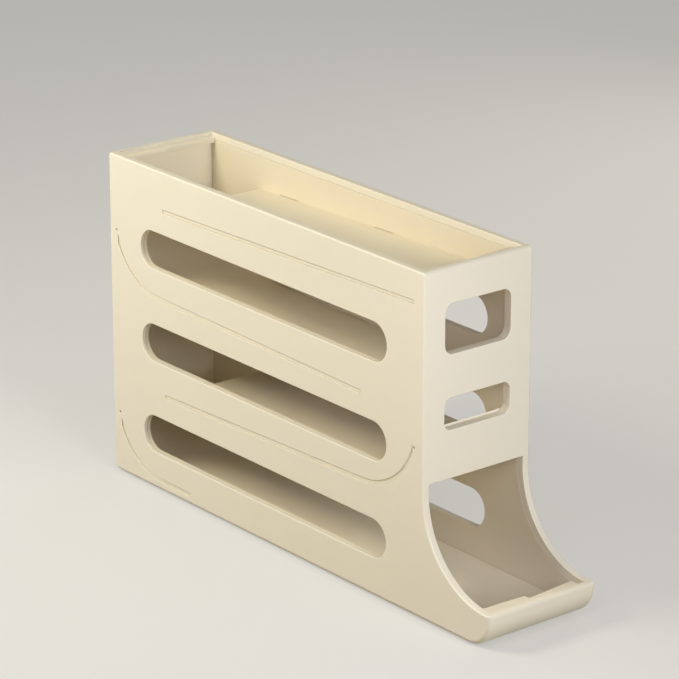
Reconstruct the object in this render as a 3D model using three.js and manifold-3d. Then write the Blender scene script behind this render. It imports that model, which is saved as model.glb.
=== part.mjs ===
// Egg holder: a narrow four-tier rack with sloping tracks and a swept mouth at the front.
// Millimetres, +Z up. +X points to the mouth and Y runs across the width.
// Lengths along X are measured from the rear face and heights from the shell's lower edge;
// the last step centres the whole rack and lifts it onto its feet.
import * as THREE from "three";
import { mergeVertices } from "three/addons/utils/BufferGeometryUtils.js";
import Module from "manifold-3d";

const wasm = await Module();
wasm.setup();

// Outer shell
const boxLength = 300;
const lipReach = 58.5;
const width = 80;
const height = 208;
const footHeight = 1;
const sideWall = 2.6;
const rearWall = 2.6;
const frontWall = 2.7;
const lipWall = 2.6;
const rimDepth = 4.5;
const rimWidth = 4.8;
const mouthRise = 4.9;
const lipTop = 21.8;
const lipLand = 3.5;
const noseRadius = 18.8;
const heelRadius = 5.5;
const cornerRadius = 1.8;
const edgeRound = 1.2;
const lowerRound = 3;
const clearance = 0.3;

// Windows in the two long sides: how far in their ends lie, and the heights of their middles
const sideWindowHeight = 24;
const sideWindowRear = 31.9;
const sideWindowFront = 32.5;
const sideWindowShares = [0.174, 0.4625, 0.751];

// Windows in the front wall: bottom and top as shares of the height from the mouth to the rim
const frontWindowMargin = 15.7;
const upperWindowShares = [0.5913, 0.829];
const upperWindowRadius = 6;
const lowerWindowShares = [0.2333, 0.3863];
const lowerWindowRadius = 5;

// Tracks: each line is the upper edge of the groove that shows outside, and the track lies below it
const dropGap = 49.6;
const topLevelShare = 0.9166;
const topSlope = 1.45;
const secondLevelShare = 0.6139;
const secondSlope = -1.1;
const thirdLevelShare = 0.342;
const thirdSlope = 1.75;
const bottomRise = 8.2;
const bottomSlope = -0.35;
const guideRadius = 47;
const rearGuideAngle = 66;
const frontGuideAngle = 69;
const trackSink = 1.6;
const trackThickness = 1.9;
const tabLength = 16;
const tabShares = [0.12, 0.5, 0.88];

// Grooves on the outside of the long sides
const grooveWidth = 2.5;
const grooveDepth = 0.6;
const grooveInset = 3.2;
const bottomGrooveEnd = 80;
const pitRadius = 0.9;
const pitInset = 2;
const pitRise = 32;

// Track frames: side plates, end walls and the bars along their upper edges
const plateThickness = 2;
const frameRearWall = 2;
const frameFrontWall = 2.9;
const seamY = -3.4;
const barDrop = 2.2;
const barHeight = 4;
const lipBarDrop = 0.8;
const lipBarHeight = 3.5;
const lipBarWall = 2;
const lipNotchWidth = 3.6;
const lipNotchDepth = 4;

// How far each bar reaches in from the outer face beside it, at the side plate and at the seam
const nearBars = {
  rear: { atPlate: 6.8, atSeam: 9 },
  front: { atPlate: 13.4, atSeam: 13 },
  lip: { atPlate: 14.1, atSeam: 12.7 },
};
const farBars = {
  rear: { atPlate: 8.4, atSeam: 6.4 },
  front: { atPlate: 12.5, atSeam: 10.3 },
  lip: { atPlate: 12.2, atSeam: 8.7 },
};

// Base plate and feet
const baseThickness = 1.5;
const baseHeel = 7;
const noseFloor = 10;
const ribWidth = 2;
const ribShares = [0.24, 0.42, 0.6, 0.78, 0.94];
const footRadius = 7;
const footPocket = 0.6;
const footChamfer = 0.4;
const footFromRear = 24;
const footFromLip = 48.5;
const footFromSide = 14;

// Mesh quality
const arcTolerance = 0.035;
const weldDistance = 0.0001;
const edgeRoundSteps = 3;
const footSides = 40;
const pitSides = 24;

const radians = THREE.MathUtils.degToRad;
const point = (x, y) => new THREE.Vector2(x, y);

// Where the shell and its fillings meet
const overallLength = boxLength + lipReach;
const sweepRadius = lipReach - lipLand;
const mouthTop = lipTop + sweepRadius + mouthRise;
const halfWidth = width / 2;
const cavityHalf = halfWidth - sideWall;
const openingHalf = halfWidth - rimWidth;
const insertHalf = cavityHalf - clearance;
const plateInner = insertHalf - plateThickness;
const trackHalf = plateInner - clearance;
const frameRear = rearWall + clearance + frameRearWall;
const frameFront = boxLength - frontWall - clearance - frameFrontWall;
const baseEnd = overallLength - noseRadius - noseFloor;
const beyond = height;

// Points along an arc, close enough together to stay within the arc tolerance
function arcPoints(centre, radius, startAngle, endAngle) {
  const largestStep = 2 * Math.acos(1 - arcTolerance / radius);
  const steps = Math.max(2, Math.ceil(Math.abs(endAngle - startAngle) / largestStep));
  return Array.from({ length: steps + 1 }, (_, i) => {
    const angle = startAngle + ((endAngle - startAngle) * i) / steps;
    return point(centre.x + radius * Math.cos(angle), centre.y + radius * Math.sin(angle));
  });
}

// A closed outline through corners [x, y, radius], each rounded by its own radius
function roundedOutline(corners) {
  return corners.flatMap(([x, y, radius = 0], i) => {
    const corner = point(x, y);
    if (radius === 0) return [corner];
    const previous = corners[(i + corners.length - 1) % corners.length];
    const next = corners[(i + 1) % corners.length];
    const toPrevious = point(previous[0], previous[1]).sub(corner).normalize();
    const toNext = point(next[0], next[1]).sub(corner).normalize();
    const halfAngle = Math.acos(toPrevious.dot(toNext)) / 2;
    const middle = toPrevious.clone().add(toNext).normalize();
    const centre = corner.clone().addScaledVector(middle, radius / Math.sin(halfAngle));
    const reach = radius / Math.tan(halfAngle);
    const start = corner.clone().addScaledVector(toPrevious, reach).sub(centre).angle();
    const end = corner.clone().addScaledVector(toNext, reach).sub(centre).angle();
    const turn = THREE.MathUtils.euclideanModulo(end - start + Math.PI, 2 * Math.PI) - Math.PI;
    return arcPoints(centre, radius, start, start + turn);
  });
}

function rectangle(left, bottom, right, top, radius = 0) {
  return roundedOutline([
    [left, bottom, radius],
    [right, bottom, radius],
    [right, top, radius],
    [left, top, radius],
  ]);
}

// A three.js geometry as a manifold solid
function solidOf(geometry) {
  const plain = geometry.index ? geometry.toNonIndexed() : geometry;
  plain.deleteAttribute("normal");
  plain.deleteAttribute("uv");
  const merged = mergeVertices(plain, weldDistance);
  return new wasm.Manifold(
    new wasm.Mesh({
      numProp: 3,
      vertProperties: merged.attributes.position.array,
      triVerts: new Uint32Array(merged.index.array),
    }),
  );
}

function extrusion(outline, depth, options) {
  return new THREE.ExtrudeGeometry(new THREE.Shape(outline), {
    depth,
    bevelEnabled: false,
    ...options,
  });
}

// A solid from an outline in the side view (x, z), between two places across the width
function sideSolid(outline, yStart, yEnd, options) {
  const geometry = extrusion(outline, yEnd - yStart, options);
  geometry.rotateX(Math.PI / 2);
  geometry.translate(0, yEnd, 0);
  return solidOf(geometry);
}

// A solid from an outline in plan (x, y), between two heights
function planSolid(outline, bottom, top) {
  const geometry = extrusion(outline, top - bottom);
  geometry.translate(0, 0, bottom);
  return solidOf(geometry);
}

// A solid from an outline in the front view (y, z), between two places along the length
function frontSolid(outline, xStart, xEnd) {
  const geometry = extrusion(outline, xEnd - xStart);
  const turned = new THREE.Matrix4().makeBasis(
    new THREE.Vector3(0, 1, 0),
    new THREE.Vector3(0, 0, 1),
    new THREE.Vector3(1, 0, 0),
  );
  geometry.applyMatrix4(turned);
  geometry.translate(xStart, 0, 0);
  return solidOf(geometry);
}

function box(low, high) {
  return planSolid(rectangle(low[0], low[1], high[0], high[1]), low[2], high[2]);
}

const unionOf = (solids) => solids.reduce((whole, solid) => whole.add(solid));

// Tracks

// A track runs straight from its free end to freeX, then bends up through a guide to an end wall
function makeTrack({ level, slope, freeX, wallX, guideAngle }) {
  const angle = radians(slope);
  const outerRadius = guideRadius + trackSink + trackThickness;
  const reach = outerRadius * Math.sin(radians(guideAngle));
  const tangentX = wallX - Math.sign(wallX - freeX) * reach;
  const heightAt = (x, depth) =>
    level + Math.tan(angle) * (x - tangentX) - depth / Math.cos(angle);
  return { level, angle, freeX, wallX, tangentX, heightAt, guided: guideAngle > 0 };
}

const topTrack = makeTrack({
  level: topLevelShare * height,
  slope: topSlope,
  freeX: frameRear + dropGap,
  wallX: frameFront,
  guideAngle: 0,
});
const secondTrack = makeTrack({
  level: secondLevelShare * height,
  slope: secondSlope,
  freeX: frameFront - dropGap,
  wallX: frameRear,
  guideAngle: rearGuideAngle,
});
const thirdTrack = makeTrack({
  level: thirdLevelShare * height,
  slope: thirdSlope,
  freeX: frameRear + dropGap,
  wallX: frameFront,
  guideAngle: frontGuideAngle,
});
const bottomTrack = makeTrack({
  level: bottomRise,
  slope: bottomSlope,
  freeX: overallLength - lipWall,
  wallX: frameRear,
  guideAngle: rearGuideAngle,
});

// The line of a track at a given depth below its groove line, from startX to endX
function trackLine(track, depth, startX, endX) {
  const start = point(startX, track.heightAt(startX, depth));
  if (!track.guided) return [start, point(endX, track.heightAt(endX, depth))];
  const centre = point(
    track.tangentX - guideRadius * Math.sin(track.angle),
    track.level + guideRadius * Math.cos(track.angle),
  );
  const radius = guideRadius + depth;
  const endAngle = Math.asin((endX - centre.x) / radius);
  const quarter = Math.PI / 2;
  return [start, ...arcPoints(centre, radius, track.angle - quarter, endAngle - quarter)];
}

// The strip between two depths of a track
function trackStrip(track, upperDepth, lowerDepth, startX, endX) {
  const upper = trackLine(track, upperDepth, startX, endX);
  const lower = trackLine(track, lowerDepth, startX, endX);
  return [...upper, ...lower.reverse()];
}

// A piece of a track's straight part, for a tab or for the slot around it
function straightStrip(track, left, right, upperDepth, lowerDepth) {
  return [
    point(left, track.heightAt(left, upperDepth)),
    point(right, track.heightAt(right, upperDepth)),
    point(right, track.heightAt(right, lowerDepth)),
    point(left, track.heightAt(left, lowerDepth)),
  ];
}

// Middles of a track's side tabs
function tabCentres(track) {
  const straightEnd = track.guided ? track.tangentX : track.wallX;
  return tabShares.map((share) => THREE.MathUtils.lerp(track.freeX, straightEnd, share));
}

// The strip that fills a track's own thickness, wider than the track by a margin all round
function tabSolid(track, centreX, reach, margin) {
  const half = tabLength / 2 + margin;
  const strip = straightStrip(
    track,
    centreX - half,
    centreX + half,
    trackSink - margin,
    trackSink + trackThickness + margin,
  );
  return sideSolid(strip, -reach, reach);
}

// The track's plate with a rounded free edge, kept clear of the end wall
function trackPlate(track) {
  const inward = Math.sign(track.freeX - track.wallX);
  const endX = track.wallX + inward * clearance;
  const lowerDepth = trackSink + trackThickness;
  return sideSolid(
    trackStrip(track, trackSink, lowerDepth, track.freeX, endX),
    -trackHalf,
    trackHalf,
  );
}

// A rolled edge along a track's free end
function freeEdge(track) {
  const depth = trackSink + trackThickness / 2;
  const centre = point(track.freeX, track.heightAt(track.freeX, depth));
  const circle = arcPoints(centre, trackThickness / 2, 0, 2 * Math.PI).slice(0, -1);
  return sideSolid(circle, -trackHalf, trackHalf);
}

function tieredTrack(track) {
  const tabs = tabCentres(track).map((x) => tabSolid(track, x, insertHalf, 0));
  return unionOf([trackPlate(track), freeEdge(track), ...tabs]);
}

// The bottom track lies on the base plate's ribs and its front end follows the nose
function lowestTrack() {
  const envelope = sideSolid(cavityOutline(clearance), -trackHalf, trackHalf);
  return trackPlate(bottomTrack).intersect(envelope);
}

// Shell and frames

// The space inside the shell in the side view, or what fits in it once inset
function cavityOutline(inset) {
  const sweepInset = rimDepth + inset;
  const frontX = boxLength - frontWall - inset;
  const rimZ = height - rimDepth - inset;
  const lipRimZ = lipTop - sweepInset;
  const noseInside = noseRadius - lipWall - inset;
  const noseCentre = point(overallLength - noseRadius, baseThickness + noseRadius - lipWall);
  const noseEnd = Math.asin((lipRimZ - noseCentre.y) / noseInside);
  const nose = arcPoints(noseCentre, noseInside, -Math.PI / 2, noseEnd);
  return roundedOutline([
    [rearWall + inset, baseThickness + inset, heelRadius],
    ...nose.map(({ x, y }) => [x, y]),
    [boxLength - sweepInset, lipRimZ, sweepRadius + sweepInset],
    [boxLength - sweepInset, mouthTop + inset],
    [frontX, mouthTop + inset],
    [frontX, rimZ],
    [rearWall + inset, rimZ],
  ]);
}

function sideWindows(halfReach) {
  const half = sideWindowHeight / 2;
  const windows = sideWindowShares.map((share) => {
    const middle = share * height;
    const outline = rectangle(
      sideWindowRear,
      middle - half,
      boxLength - sideWindowFront,
      middle + half,
      half - weldDistance,
    );
    return sideSolid(outline, -halfReach, halfReach);
  });
  return unionOf(windows);
}

function frontWindows() {
  const half = halfWidth - frontWindowMargin;
  const window = (shares, radius) => {
    const [bottom, top] = shares.map((share) => THREE.MathUtils.lerp(mouthTop, height, share));
    const outline = rectangle(-half, bottom, half, top, radius);
    return frontSolid(outline, frameFront - clearance, boxLength + clearance);
  };
  return window(upperWindowShares, upperWindowRadius).add(
    window(lowerWindowShares, lowerWindowRadius),
  );
}

// Shallow grooves outside one long side, along the line of each track
function grooves(side) {
  const face = side * halfWidth;
  const outside = face + side * grooveDepth;
  const slopingWalls = {
    bevelEnabled: true,
    bevelThickness: grooveDepth,
    bevelSize: grooveDepth,
    bevelOffset: -grooveDepth,
    bevelSegments: 1,
  };
  const inward = (track) => Math.sign(track.freeX - track.wallX);
  const cut = (track, startX) => {
    const endX = track.wallX + inward(track) * grooveInset;
    const strip = trackStrip(track, 0, grooveWidth, startX, endX);
    return sideSolid(strip, Math.min(face, outside), Math.max(face, outside), slopingWalls);
  };
  const pit = (track) => {
    const geometry = new THREE.CylinderGeometry(pitRadius, pitRadius, 2 * grooveDepth, pitSides);
    geometry.translate(track.wallX + inward(track) * pitInset, face, track.level + pitRise);
    return solidOf(geometry);
  };
  return unionOf([
    cut(topTrack, topTrack.freeX),
    cut(secondTrack, secondTrack.freeX),
    cut(thirdTrack, thirdTrack.freeX),
    cut(bottomTrack, bottomGrooveEnd),
    pit(secondTrack),
    pit(thirdTrack),
    pit(bottomTrack),
  ]);
}

// What the fuller rounding of the lower edges leaves: along the bottom, round the nose and up the lip
function lowerRounding() {
  const half = halfWidth + arcTolerance;
  const noseX = overallLength - noseRadius;
  const along = frontSolid(
    roundedOutline([
      [-half, -arcTolerance, lowerRound],
      [half, -arcTolerance, lowerRound],
      [half, beyond + height],
      [-half, beyond + height],
    ]),
    -arcTolerance,
    noseX,
  );
  const noseSteps = arcPoints(point(0, 0), noseRadius, 0, Math.PI / 2).length - 1;
  const barrel = new THREE.LatheGeometry(
    roundedOutline([
      [0, -half],
      [noseRadius + arcTolerance, -half, lowerRound],
      [noseRadius + arcTolerance, half, lowerRound],
      [0, half],
    ]),
    4 * noseSteps,
  );
  barrel.translate(noseX, 0, noseRadius);
  const upright = planSolid(
    roundedOutline([
      [noseX - noseRadius, -half],
      [overallLength + arcTolerance, -half, lowerRound],
      [overallLength + arcTolerance, half, lowerRound],
      [noseX - noseRadius, half],
    ]),
    noseRadius,
    beyond + height,
  );
  return unionOf([along, solidOf(barrel), upright]);
}

function outerShell() {
  const outline = roundedOutline([
    [0, 0, heelRadius],
    [overallLength, 0, noseRadius],
    [overallLength, lipTop, cornerRadius],
    [boxLength, lipTop, sweepRadius],
    [boxLength, height, cornerRadius],
    [0, height, cornerRadius],
  ]);
  const body = sideSolid(outline, edgeRound - halfWidth, halfWidth - edgeRound, {
    bevelEnabled: true,
    bevelThickness: edgeRound,
    bevelSize: edgeRound,
    bevelOffset: -edgeRound,
    bevelSegments: edgeRoundSteps,
  });
  const topOpening = box(
    [rimWidth, -openingHalf, height - 2 * rimDepth],
    [boxLength - rimWidth, openingHalf, beyond + height],
  );
  const mouth = sideSolid(
    roundedOutline([
      [boxLength - rimWidth, lipTop - 2 * rimDepth],
      [overallLength - rimWidth, lipTop - 2 * rimDepth],
      [overallLength - rimWidth, lipTop + clearance],
      [overallLength + beyond, lipTop + clearance],
      [overallLength + beyond, mouthTop],
      [boxLength - rimWidth, mouthTop],
    ]),
    -openingHalf,
    openingHalf,
  );
  const bottomOpening = box(
    [-beyond, -cavityHalf, -beyond],
    [baseEnd + clearance, cavityHalf, baseHeel + clearance],
  );
  return body
    .intersect(lowerRounding())
    .subtract(sideSolid(cavityOutline(0), -cavityHalf, cavityHalf))
    .subtract(topOpening)
    .subtract(mouth)
    .subtract(bottomOpening)
    .subtract(sideWindows(width))
    .subtract(frontWindows())
    .subtract(grooves(-1))
    .subtract(grooves(1));
}

// One half of the inner frame; side is -1 for the near half and 1 for the far half
function trackFrame(side, bars) {
  const seam = seamY + (side * clearance) / 2;
  const outer = side * insertHalf;
  const inner = side * plateInner;
  const outerToSeam = [Math.min(outer, seam), Math.max(outer, seam)];
  const body = sideSolid(cavityOutline(clearance), ...outerToSeam);
  const hollowEdges = side < 0 ? [inner, beyond] : [-beyond, inner];
  const hollow = sideSolid(
    roundedOutline([
      [frameRear, -beyond],
      [overallLength + beyond, -beyond],
      [overallLength + beyond, mouthTop + clearance],
      [frameFront, mouthTop + clearance],
      [frameFront, beyond + height],
      [frameRear, beyond + height],
    ]),
    ...hollowEdges,
  );

  // A plan outline between a line across the frame and the slanting inner edge of a bar
  const barOutline = (backX, edgeAtPlate, edgeAtSeam) => [
    point(backX, outer),
    point(edgeAtPlate, outer),
    point(edgeAtPlate, inner),
    point(edgeAtSeam, seam),
    point(backX, seam),
  ];
  const barTop = height - barDrop;
  const lipBarTop = lipTop - lipBarDrop;
  const rearBar = planSolid(
    barOutline(rearWall + clearance, bars.rear.atPlate, bars.rear.atSeam),
    barTop - barHeight,
    barTop,
  );
  const frontBar = planSolid(
    barOutline(
      boxLength - frontWall - clearance,
      boxLength - bars.front.atPlate,
      boxLength - bars.front.atSeam,
    ),
    barTop - barHeight,
    barTop,
  );
  const lipPlateX = overallLength - bars.lip.atPlate;
  const lipSeamX = overallLength - bars.lip.atSeam;
  const lipBar = planSolid(
    barOutline(overallLength - lipWall - clearance, lipPlateX, lipSeamX),
    lipBarTop - lipBarHeight,
    lipBarTop,
  );
  const lipWallOutline = [
    point(lipPlateX, outer),
    point(lipPlateX, inner),
    point(lipSeamX, seam),
    point(lipSeamX + lipBarWall, seam),
    point(lipPlateX + lipBarWall, inner),
    point(lipPlateX + lipBarWall, outer),
  ];
  const trackTop = bottomTrack.heightAt(lipPlateX, trackSink);
  const lipInnerWall = planSolid(lipWallOutline, trackTop + clearance, lipBarTop);

  // Above the shell's rim line only what passes through its opening is left
  const throughRim = box(
    [rimWidth + clearance, clearance - openingHalf, -beyond],
    [overallLength - rimWidth - clearance, openingHalf - clearance, beyond + height],
  );
  const allowed = sideSolid(cavityOutline(clearance), -insertHalf, insertHalf).add(
    throughRim.intersect(
      box([0, -width, height - 2 * rimDepth], [boxLength - rimWidth - clearance, width, barTop]).add(
        box([boxLength, -width, lipTop - 2 * rimDepth], [overallLength, width, lipBarTop]),
      ),
    ),
  );
  const tracksWithTabs = [topTrack, secondTrack, thirdTrack];
  const slots = tracksWithTabs.flatMap((track) =>
    tabCentres(track).map((x) => tabSolid(track, x, width, clearance)),
  );
  return body
    .subtract(hollow)
    .add(rearBar)
    .add(frontBar)
    .add(lipBar)
    .add(lipInnerWall)
    .intersect(allowed)
    .subtract(sideWindows(width))
    .subtract(frontWindows())
    .subtract(unionOf(slots));
}

// The far half's lip bar stops short of its side plate
function farLipNotch() {
  const top = lipTop - lipBarDrop;
  return box(
    [overallLength - farBars.lip.atPlate - clearance, plateInner - lipNotchWidth, top - lipNotchDepth],
    [overallLength, plateInner, top + clearance],
  );
}

// Base plate with ribs under the bottom track and pockets for the feet
function footPlaces() {
  const y = halfWidth - footFromSide;
  const frontX = overallLength - footFromLip;
  return [
    [footFromRear, -y],
    [footFromRear, y],
    [frontX, -y],
    [frontX, y],
  ];
}

function footPocketSolid([x, y]) {
  const radius = footRadius + clearance;
  const depth = footPocket + clearance;
  const geometry = new THREE.CylinderGeometry(radius, radius, 2 * depth, footSides);
  geometry.rotateX(Math.PI / 2);
  geometry.translate(x, y, 0);
  return solidOf(geometry);
}

function basePlate() {
  const heelInside = heelRadius - baseThickness;
  const plate = sideSolid(
    roundedOutline([
      [0, baseHeel],
      [0, 0, heelRadius],
      [baseEnd, 0],
      [baseEnd, baseThickness],
      [baseThickness, baseThickness, heelInside],
      [baseThickness, baseHeel],
    ]),
    -insertHalf,
    insertHalf,
  );
  const underTrack = trackSink + trackThickness + clearance;
  const ribs = ribShares.map((share) => {
    const x = share * baseEnd;
    const ribTop = bottomTrack.heightAt(x, underTrack);
    return box(
      [x - ribWidth / 2, -trackHalf, baseThickness / 2],
      [x + ribWidth / 2, trackHalf, ribTop],
    );
  });
  const pockets = footPlaces().map(footPocketSolid);
  return unionOf([plate, ...ribs]).subtract(unionOf(pockets));
}

// A round foot, turned from its profile
function foot([x, y]) {
  const profile = [
    point(0, -footHeight),
    point(footRadius - footChamfer, -footHeight),
    point(footRadius, footChamfer - footHeight),
    point(footRadius, footPocket),
    point(0, footPocket),
  ];
  const geometry = new THREE.LatheGeometry(profile, footSides);
  geometry.rotateX(Math.PI / 2);
  geometry.translate(x, y, 0);
  return solidOf(geometry);
}

// Materials
const ivoryPlastic = new THREE.MeshStandardMaterial({
  color: "#e9dfc6",
  roughness: 0.42,
  metalness: 0,
});
const innerPlastic = new THREE.MeshStandardMaterial({
  color: "#e4d8bd",
  roughness: 0.48,
  metalness: 0,
});
const footRubber = new THREE.MeshStandardMaterial({
  color: "#cfc8b6",
  roughness: 0.8,
  metalness: 0,
});

function namedMesh(name, solid, material) {
  const { numProp, vertProperties, triVerts } = solid.getMesh();
  const geometry = new THREE.BufferGeometry();
  geometry.setAttribute("position", new THREE.BufferAttribute(vertProperties, numProp));
  geometry.setIndex(new THREE.BufferAttribute(triVerts, 1));
  geometry.computeVertexNormals();
  const mesh = new THREE.Mesh(geometry, material);
  mesh.name = name;
  return mesh;
}

const group = new THREE.Group();
group.add(namedMesh("outer_shell", outerShell(), ivoryPlastic));
group.add(namedMesh("near_track_frame", trackFrame(-1, nearBars), innerPlastic));
group.add(namedMesh("far_track_frame", trackFrame(1, farBars).subtract(farLipNotch()), innerPlastic));
group.add(namedMesh("top_track", tieredTrack(topTrack), innerPlastic));
group.add(namedMesh("second_track", tieredTrack(secondTrack), innerPlastic));
group.add(namedMesh("third_track", tieredTrack(thirdTrack), innerPlastic));
group.add(namedMesh("bottom_track", lowestTrack(), innerPlastic));
group.add(namedMesh("base_plate", basePlate(), ivoryPlastic));
footPlaces().forEach((place, i) => {
  group.add(namedMesh(`foot_${i + 1}`, foot(place), footRubber));
});
group.position.set(-overallLength / 2, 0, footHeight);

export default group;
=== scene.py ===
from math import radians

import bmesh
import bpy
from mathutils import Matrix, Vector


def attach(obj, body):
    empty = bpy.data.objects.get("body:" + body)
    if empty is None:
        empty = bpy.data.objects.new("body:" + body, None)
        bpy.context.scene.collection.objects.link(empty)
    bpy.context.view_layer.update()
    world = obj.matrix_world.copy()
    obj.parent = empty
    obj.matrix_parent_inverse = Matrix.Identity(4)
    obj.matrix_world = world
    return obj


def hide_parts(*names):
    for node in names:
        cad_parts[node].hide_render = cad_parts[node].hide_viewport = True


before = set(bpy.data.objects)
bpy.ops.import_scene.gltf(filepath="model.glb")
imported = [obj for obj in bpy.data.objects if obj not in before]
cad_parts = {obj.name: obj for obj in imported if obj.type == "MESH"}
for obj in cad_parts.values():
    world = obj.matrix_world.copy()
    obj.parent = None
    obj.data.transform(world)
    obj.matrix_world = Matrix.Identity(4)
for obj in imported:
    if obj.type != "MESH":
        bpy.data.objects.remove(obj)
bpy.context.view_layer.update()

scene = bpy.context.scene
print("frame loaded:", len(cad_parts), "pieces")


def mm(value):
    return value / 1000


def linear(hexColour):
    # sRGB hex to the linear colour that the shaders work in
    channels = [int(hexColour[i:i + 2], 16) / 255 for i in (1, 3, 5)]
    return [c / 12.92 if c <= 0.04045 else ((c + 0.055) / 1.055) ** 2.4 for c in channels] + [1]


def addNode(tree, kind, settings=None, links=None):
    # settings go to sockets where the name is one, otherwise to the node itself
    node = tree.nodes.new(kind)
    for name, value in (settings or {}).items():
        if isinstance(name, int) or name in node.inputs:
            node.inputs[name].default_value = value
        else:
            setattr(node, name, value)
    for name, source in (links or {}).items():
        tree.links.new(source, node.inputs[name])
    return node


def emptyMaterial(name):
    material = bpy.data.materials.new(name)
    material.use_nodes = True
    material.node_tree.nodes.clear()
    return material, material.node_tree


def mouldedPlastic(name, look):
    # moulded polypropylene: satin, slightly cloudy, a fine spark-eroded grain from the mould
    # that breaks up the gloss, and very faint flow shading across broad faces
    material, tree = emptyMaterial(name)
    place = addNode(tree, "ShaderNodeTexCoord").outputs["Object"]

    # flow shading, about a hand's width across
    flow = addNode(tree, "ShaderNodeTexNoise",
                   {"Scale": 1 / mm(look["flowSize"]), "Detail": 3.0, "Roughness": 0.55},
                   {"Vector": place})
    body = addNode(tree, "ShaderNodeMix",
                   {"data_type": "RGBA", 6: linear(look["colour"]), 7: linear(look["flowColour"])},
                   {0: flow.outputs["Fac"]})

    # inner corners and grooves are painted darker, a painted shade, and outer edges are painted
    # paler, a painted highlight
    corner = addNode(tree, "ShaderNodeAmbientOcclusion",
                     {"samples": 8, "only_local": True, "Distance": mm(look["cornerShadeReach"])})
    cornerShade = addNode(tree, "ShaderNodeMapRange",
                   {"From Min": 0.45, "From Max": 0.95, "To Min": look["cornerShade"], "To Max": 0.0},
                   {"Value": corner.outputs["AO"]})
    cornerShaded = addNode(tree, "ShaderNodeMix",
                    {"data_type": "RGBA", 7: linear(look["cornerShadeColour"])},
                    {0: cornerShade.outputs["Result"], 6: body.outputs[2]})
    # the paler outer edges are a painted highlight
    edge = addNode(tree, "ShaderNodeAmbientOcclusion",
                   {"samples": 8, "only_local": True, "inside": True,
                    "Distance": mm(look["edgeHighlightReach"])})
    edgeHighlight = addNode(tree, "ShaderNodeMapRange",
                     {"From Min": 0.35, "From Max": 0.8, "To Min": look["edgeHighlight"], "To Max": 0.0},
                     {"Value": edge.outputs["AO"]})
    rim = addNode(tree, "ShaderNodeMix",
                  {"data_type": "RGBA", 7: linear(look["edgeHighlightColour"])},
                  {0: edgeHighlight.outputs["Result"], 6: cornerShaded.outputs[2]})

    # the gloss varies where the mould was polished unevenly
    cloud = addNode(tree, "ShaderNodeTexNoise",
                    {"Scale": 1 / mm(look["cloudSize"]), "Detail": 2.0}, {"Vector": place})
    gloss = addNode(tree, "ShaderNodeMapRange",
                    {"From Min": 0.3, "From Max": 0.7,
                     "To Min": look["roughness"] - look["smoother"],
                     "To Max": look["roughness"] + look["rougher"]},
                    {"Value": cloud.outputs["Fac"]})

    # the real grain is about 0.1 mm, too fine to show here, so it is drawn coarser
    grain = addNode(tree, "ShaderNodeTexNoise",
                    {"Scale": 1 / mm(look["grainSize"]), "Detail": 2.0, "Roughness": 0.6},
                    {"Vector": place})
    sink = addNode(tree, "ShaderNodeTexNoise",
                   {"Scale": 1 / mm(look["sinkSize"]), "Detail": 1.0}, {"Vector": place})
    coarse = addNode(tree, "ShaderNodeBump",
                     {"Strength": look["sinkStrength"], "Distance": mm(look["sinkHeight"])},
                     {"Height": sink.outputs["Fac"]})
    fine = addNode(tree, "ShaderNodeBump",
                   {"Strength": look["grainStrength"], "Distance": mm(look["grainHeight"])},
                   {"Height": grain.outputs["Fac"], "Normal": coarse.outputs["Normal"]})

    shader = addNode(tree, "ShaderNodeBsdfPrincipled",
                     {"IOR": 1.49, "Metallic": 0.0, "Subsurface Weight": look["cloudy"],
                      "Subsurface Radius": [mm(depth) for depth in look["lightDepth"]],
                      "Subsurface Scale": 0.5},
                     {"Base Color": rim.outputs[2], "Roughness": gloss.outputs["Result"],
                      "Normal": fine.outputs["Normal"]})
    addNode(tree, "ShaderNodeOutputMaterial", links={"Surface": shader.outputs["BSDF"]})
    return material


def feltyRubber(name, look):
    # soft cast rubber: matt with a dusty bloom and a slight orange-peel skin
    material, tree = emptyMaterial(name)
    place = addNode(tree, "ShaderNodeTexCoord").outputs["Object"]
    bloom = addNode(tree, "ShaderNodeTexNoise",
                    {"Scale": 1 / mm(look["bloomSize"]), "Detail": 4.0}, {"Vector": place})
    body = addNode(tree, "ShaderNodeMix",
                   {"data_type": "RGBA", 6: linear(look["colour"]), 7: linear(look["bloomColour"])},
                   {0: bloom.outputs["Fac"]})
    peel = addNode(tree, "ShaderNodeTexNoise",
                   {"Scale": 1 / mm(look["peelSize"]), "Detail": 2.0}, {"Vector": place})
    skin = addNode(tree, "ShaderNodeBump", {"Strength": 0.3, "Distance": mm(look["peelHeight"])},
                   {"Height": peel.outputs["Fac"]})
    shader = addNode(tree, "ShaderNodeBsdfPrincipled",
                     {"IOR": 1.52, "Metallic": 0.0, "Roughness": 0.78},
                     {"Base Color": body.outputs[2], "Normal": skin.outputs["Normal"]})
    addNode(tree, "ShaderNodeOutputMaterial", links={"Surface": shader.outputs["BSDF"]})
    return material


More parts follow.
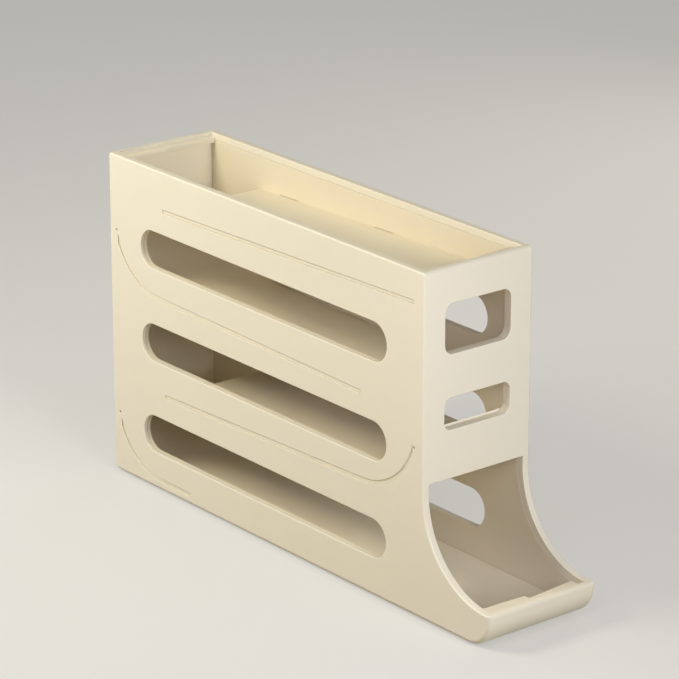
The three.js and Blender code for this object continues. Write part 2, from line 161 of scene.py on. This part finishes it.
shellLook = {
    "colour": "#ece3cf", "flowColour": "#e9dfc9", "flowSize": 90,
    # paler outer edges: painted highlight
    "edgeHighlightColour": "#f6f0e2", "edgeHighlight": 0.6, "edgeHighlightReach": 1.2,
    # darker inner corners and grooves: painted shade
    "cornerShadeColour": "#b5aa90", "cornerShade": 0.5, "cornerShadeReach": 1.4,
    "roughness": 0.42, "smoother": 0.04, "rougher": 0.05, "cloudSize": 14,
    "cloudy": 0.12, "lightDepth": (2.8, 2.4, 1.8),
    "grainSize": 0.7, "grainStrength": 0.22, "grainHeight": 0.05,
    "sinkSize": 26, "sinkStrength": 0.05, "sinkHeight": 0.4,
}
trackLook = {
    "colour": "#e8ddc6", "flowColour": "#e3d7bd", "flowSize": 70,
    # paler outer edges: painted highlight
    "edgeHighlightColour": "#f3ead6", "edgeHighlight": 0.6, "edgeHighlightReach": 1.2,
    # darker inner corners and grooves: painted shade
    "cornerShadeColour": "#b0a386", "cornerShade": 0.5, "cornerShadeReach": 1.6,
    "roughness": 0.46, "smoother": 0.04, "rougher": 0.05, "cloudSize": 11,
    "cloudy": 0.12, "lightDepth": (2.8, 2.4, 1.8),
    "grainSize": 0.7, "grainStrength": 0.25, "grainHeight": 0.05,
    "sinkSize": 20, "sinkStrength": 0.06, "sinkHeight": 0.4,
}
rubberLook = {
    "colour": "#cfc8b6", "bloomColour": "#dad4c5", "bloomSize": 3,
    "peelSize": 0.6, "peelHeight": 0.05,
}
satinIvoryPolypropylene = mouldedPlastic("satinIvoryPolypropylene", shellLook)
innerIvoryPolypropylene = mouldedPlastic("innerIvoryPolypropylene", trackLook)
softPaleRubber = feltyRubber("softPaleRubber", rubberLook)
print("materials made")


# Every piece is a merged copy of its CAD node with the small rounding that a mould leaves.
# Own lengths run from the rear face and heights from the shell's lower edge, as in the CAD,
# so this shift brings them to the frame.
ownShift = {"x": -179.25, "y": 0, "z": 1.0}
axisNumber = {"x": 0, "y": 1, "z": 2}
# how near counts as the same place, and the angles between faces in degrees
tolerance = {"weld": 0.002, "shortest": 0.005, "level": 0.02, "gap": 0.03, "roundGap": 0.04,
             "apart": 0.05}
angles = {"flat": 0.3, "crisp": 50, "smooth": 38, "smoothInGroove": 20}


def toMesh(axis, value):
    return mm(value + ownShift[axis])


def inside(point, box):
    return all(toMesh(axis, low) <= point[axisNumber[axis]] <= toMesh(axis, high)
               for axis, (low, high) in box.items())


def isIn(edge, box):
    return all(inside(v.co, box) for v in edge.verts)


def isInGroove(edge, groove):
    return bool(groove) and all(
        abs(v.co.y) > mm(groove["beyond"]) and inside(v.co, groove["zone"])
        and not any(inside(v.co, box) for box in groove["apartFrom"]) for v in edge.verts)


def isCrisp(edge, cut):
    if len(edge.link_faces) != 2 or not edge.is_convex:
        return False
    if edge.calc_face_angle() < radians(angles["crisp"]):
        return False
    if any(isIn(edge, box) for box in cut["keep"]):
        return False
    return edge.calc_length() > mm(tolerance["shortest"])


def roundEdges(bm, edges, size, segments):
    bmesh.ops.bevel(bm, geom=edges, offset=mm(size), offset_type="OFFSET", segments=segments,
                    profile=0.5, affect="EDGES", clamp_overlap=False, loop_slide=False,
                    material=-1)


def closeGaps(bm, cut):
    # the running gaps of the CAD close to fine parting lines
    for axis, at, to in cut["close"]:
        for v in bm.verts:
            if abs(v.co[axisNumber[axis]] - toMesh(axis, at)) < mm(tolerance["gap"]):
                v.co[axisNumber[axis]] = toMesh(axis, to)
    for centreX, centreZ, at, to in cut["closeRound"]:
        centre = Vector((toMesh("x", centreX), 0, toMesh("z", centreZ)))
        for v in bm.verts:
            arm = Vector((v.co.x, 0, v.co.z)) - centre
            if abs(arm.length - mm(at)) < mm(tolerance["roundGap"]) and arm.x < 0 and arm.z < 0:
                v.co += arm.normalized() * mm(to - at)


def shapeGrooves(bm, groove):
    # the wall nearer the windows becomes a longer slope, which draws the dark upper line, and
    # the other wall stands upright, a little farther out; corners at the ends keep the slope
    # of the end wall
    walls = []
    for v in bm.verts:
        onFloor = abs(abs(v.co.y) - mm(groove["floor"])) <= mm(tolerance["level"])
        if not onFloor or not inside(v.co, groove["zone"]):
            continue
        rims = [e.other_vert(v) for e in v.link_edges]
        rims = [r for r in rims if abs(abs(r.co.y) - mm(groove["face"])) < mm(tolerance["level"])]
        if rims:
            rim = min(rims, key=lambda r: (r.co - v.co).length)
            out = Vector((rim.co.x - v.co.x, 0, rim.co.z - v.co.z))
            if out.length > mm(tolerance["apart"]):
                walls.append((v, rim, out))
        v.co.y *= groove["newFloor"] / groove["floor"]

    moved = set()
    for v, rim, out in walls:
        atEnd = min(abs(out.x), abs(out.z)) > mm(groove["corner"])
        way = out.normalized()
        # where the walls stand upright, the one towards the middle is the nearer
        toMiddle = way.x if v.co.x < toMesh("x", groove["middle"]) else -way.x
        if way.z + groove["sideShare"] * toMiddle > 0:
            v.co -= (Vector((0, 0, 1)) if atEnd else way) * mm(groove["longer"])
            continue
        if rim not in moved:
            down = Vector((0, 0, -1)) if atEnd else way
            rim.co += down * max(0, -way.z) * mm(groove["wider"])
            moved.add(rim)
        v.co.z = rim.co.z
        v.co.x = v.co.x if atEnd else rim.co.x


def dressed(nodeName, pieceName, material, cut):
    bm = bmesh.new()
    bm.from_mesh(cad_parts[nodeName].data)
    bmesh.ops.remove_doubles(bm, verts=bm.verts, dist=mm(tolerance["weld"]))
    bmesh.ops.dissolve_limit(bm, angle_limit=radians(angles["flat"]), verts=bm.verts,
                             edges=bm.edges)
    closeGaps(bm, cut)
    if cut["groove"]:
        shapeGrooves(bm, cut["groove"])

    for group in cut["groups"]:
        edges = [e for e in bm.edges if isCrisp(e, cut) and isIn(e, group["box"])]
        roundEdges(bm, edges, group["round"], group["segments"])
        print("  rounding of", group["round"], "mm on", len(edges), "edges")
    crisp = [e for e in bm.edges if isCrisp(e, cut) and not isInGroove(e, cut["groove"])]
    roundEdges(bm, crisp, cut["round"], cut["segments"])
    bmesh.ops.remove_doubles(bm, verts=bm.verts, dist=mm(tolerance["weld"]))

    for face in bm.faces:
        face.smooth = True
    for edge in bm.edges:
        limit = angles["smoothInGroove" if isInGroove(edge, cut["groove"]) else "smooth"]
        edge.smooth = edge.calc_face_angle(0) < radians(limit)

    mesh = bpy.data.meshes.new(pieceName)
    bm.to_mesh(mesh)
    bm.free()
    mesh.materials.append(material)
    piece = bpy.data.objects.new(pieceName, mesh)
    scene.collection.objects.link(piece)
    weights = piece.modifiers.new("faceWeights", "WEIGHTED_NORMAL")
    weights.keep_sharp = True
    weights.weight = 80  # broad faces stay flat up to their rounded edges
    weights.thresh = 1e-6  # faces within 1 mm2 of one another count alike
    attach(piece, "root")
    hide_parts(nodeName)
    print("dressed", pieceName, len(mesh.polygons), "faces,", len(crisp), "edges rounded")


def edgeGroup(box, size, segments):
    return {"box": box, "round": size, "segments": segments}


# Edges of the plain pieces, and what the others change: window edges and the bars are
# fuller, the bottom edge is finer, and the grooves stay sharp
plainCut = {"round": 0.2, "segments": 2, "keep": [], "close": [], "closeRound": [],
            "groups": [], "groove": None}

windowBand = {"x": (31, 268.5), "half": 13, "middles": (36.2, 96.2, 156.2)}
windowBoxes = [{"x": windowBand["x"], "z": (m - windowBand["half"], m + windowBand["half"])}
               for m in windowBand["middles"]]
sideGroove = {"face": 40, "floor": 39.4, "newFloor": 39.22, "beyond": 39,
              "longer": 0.35, "wider": 0.4, "corner": 0.5, "middle": 150, "sideShare": 0.05,
              "zone": {"x": (4, 296), "z": (4, 204)}, "apartFrom": windowBoxes}
bottomEdge = {"z": (-0.2, 0.8)}
shellCut = dict(plainCut, round=0.45, segments=3, groove=sideGroove,
                groups=[edgeGroup(box, 0.55, 3) for box in windowBoxes]
                + [edgeGroup(bottomEdge, 0.1, 1)])

rearBar = {"x": (5.6, 9.5), "y": (-36, 36), "z": (205.6, 206)}
frontBar = {"x": (286, 290), "y": (-36, 36), "z": (205.6, 206)}
lipBar = {"x": (344, 350.5), "y": (-36, 36), "z": (20.8, 21.2)}
frameSeam = {"x": (-1, 360), "y": (-3.7, -3.2), "z": (-2, 210)}
frameClose = [("x", 2.9, 2.65), ("x", 5.1, 4.85), ("x", 297.0, 297.25), ("x", 294.9, 295.15),
              ("x", 353.4, 353.65), ("z", 203.2, 203.46), ("z", 17.0, 17.26)]
nearClose = [("y", -37.1, -37.32), ("y", -34.9, -35.15), ("y", -3.55, -3.42)]
farClose = [("y", 37.1, 37.32), ("y", 34.9, 35.15), ("y", -3.25, -3.38)]
nearFrameCut = dict(plainCut, round=0.25, keep=[frameSeam], close=frameClose + nearClose,
                    closeRound=[(355, 76.8, 59.8, 59.54)],
                    groups=[edgeGroup(rearBar, 2.6, 6), edgeGroup(frontBar, 1.6, 4),
                            edgeGroup(lipBar, 0.9, 3)])
farFrameCut = dict(nearFrameCut, close=frameClose + farClose)
trackCut = dict(plainCut, round=0.3, close=[("y", -34.8, -35.07), ("y", 34.8, 35.07)])

dressed("outer_shell", "shell", satinIvoryPolypropylene, shellCut)
dressed("near_track_frame", "nearFrame", innerIvoryPolypropylene, nearFrameCut)
dressed("far_track_frame", "farFrame", innerIvoryPolypropylene, farFrameCut)
for level in ("top", "second", "third", "bottom"):
    dressed(level + "_track", level + "Track", innerIvoryPolypropylene, trackCut)
dressed("base_plate", "basePlate", satinIvoryPolypropylene, plainCut)
for number in range(1, 5):
    dressed("foot_%d" % number, "foot%d" % number, softPaleRubber, plainCut)

# Stage: one pale sheet that runs off far behind the object
stage = {"floorColour": "#a09d98", "bounceColour": "#a49c86", "glowColour": "#e6e4df",
         "glow": 0.5, "floorSize": 12000}
bm = bmesh.new()
bmesh.ops.create_grid(bm, x_segments=1, y_segments=1, size=mm(stage["floorSize"]) / 2)
floorMesh = bpy.data.meshes.new("floor")
bm.to_mesh(floorMesh)
bm.free()
floor = bpy.data.objects.new("floor", floorMesh)
scene.collection.objects.link(floor)
paper, paperTree = emptyMaterial("mattPaper")  # even, no shine, takes a soft shadow
# the eye sees a pale sheet, while the object gets the weaker light of a darker one
seen = addNode(paperTree, "ShaderNodeLightPath")
seenOrGloss = addNode(paperTree, "ShaderNodeMath", {"operation": "MAXIMUM"},
                      {0: seen.outputs["Is Camera Ray"], 1: seen.outputs["Is Glossy Ray"]})
seenAtAll = addNode(paperTree, "ShaderNodeMath", {"operation": "MAXIMUM"},
                    {0: seenOrGloss.outputs[0], 1: seen.outputs["Is Transmission Ray"]})
sheet = addNode(paperTree, "ShaderNodeMix",
                {"data_type": "RGBA", 6: linear(stage["bounceColour"]),
                 7: linear(stage["floorColour"])},
                {0: seenAtAll.outputs[0]})
paperShader = addNode(paperTree, "ShaderNodeBsdfPrincipled",
                      {"Roughness": 0.9, "Specular IOR Level": 0.2},
                      {"Base Color": sheet.outputs[2]})
# light from far off that only the eye gets, so that the sheet stays pale to its far end
glowShare = addNode(paperTree, "ShaderNodeMath", {"operation": "MULTIPLY", 1: stage["glow"]},
                    {0: seenAtAll.outputs[0]})
glow = addNode(paperTree, "ShaderNodeEmission", {"Color": linear(stage["glowColour"])},
               {"Strength": glowShare.outputs[0]})
paperMix = addNode(paperTree, "ShaderNodeAddShader", links={0: paperShader.outputs["BSDF"],
                                                            1: glow.outputs["Emission"]})
addNode(paperTree, "ShaderNodeOutputMaterial", links={"Surface": paperMix.outputs["Shader"]})
floorMesh.materials.append(paper)

# Camera: where the photograph's straight edges meet it
cameraSet = {"place": (1537.75, -1239.8, 834.2), "back": (0.7337, -0.5902, 0.3366),
             "lens": 188.91, "sensor": 36, "reach": 50000}
cameraData = bpy.data.cameras.new("camera")
cameraData.lens = cameraSet["lens"]
cameraData.sensor_width = cameraSet["sensor"]
cameraData.clip_end = mm(cameraSet["reach"])
camera = bpy.data.objects.new("camera", cameraData)
scene.collection.objects.link(camera)
camera.rotation_euler = Vector(cameraSet["back"]).to_track_quat("Z", "Y").to_euler()
camera.location = [mm(c) for c in cameraSet["place"]]
scene.camera = camera

# Light: a dim pale room, a soft window on the left with a fill beside it, and weak fills in
# front, on the right and behind. All lamps look at about the middle of the object.
roomLight = {"colour": (1, 1, 1, 1), "strength": 0.1, "aimHeight": 100}
lamps = {
    "window": {"place": (-260, -560, 640), "size": 320, "power": 4.5, "colour": "#fffbe3"},
    "left": {"place": (-620, -520, 330), "size": 420, "power": 2.05, "colour": "#dbe2ff"},
    "front": {"place": (300, -180, 240), "size": 140, "power": 0.22, "colour": "#f1ecff"},
    "right": {"place": (1500, -150, 700), "size": 700, "power": 15.6, "colour": "#f5faff"},
    "back": {"place": (-300, 900, 500), "size": 600, "power": 2.2, "colour": "#fff4e6"},
}
for name, lamp in lamps.items():
    data = bpy.data.lights.new(name, "AREA")
    data.shape = "SQUARE"
    data.size = mm(lamp["size"])
    data.energy = lamp["power"]
    data.color = linear(lamp["colour"])[:3]
    lampObject = bpy.data.objects.new(name, data)
    scene.collection.objects.link(lampObject)
    lampObject.location = [mm(c) for c in lamp["place"]]
    backwards = lampObject.location - Vector((0, 0, mm(roomLight["aimHeight"])))
    lampObject.rotation_euler = backwards.to_track_quat("Z", "Y").to_euler()
room = bpy.data.worlds.new("room")
scene.world = room
room.use_nodes = True
background = room.node_tree.nodes["Background"]
background.inputs["Color"].default_value = roomLight["colour"]
background.inputs["Strength"].default_value = roomLight["strength"]
scene.view_settings.view_transform = "Standard"
print("stage, camera and light set")
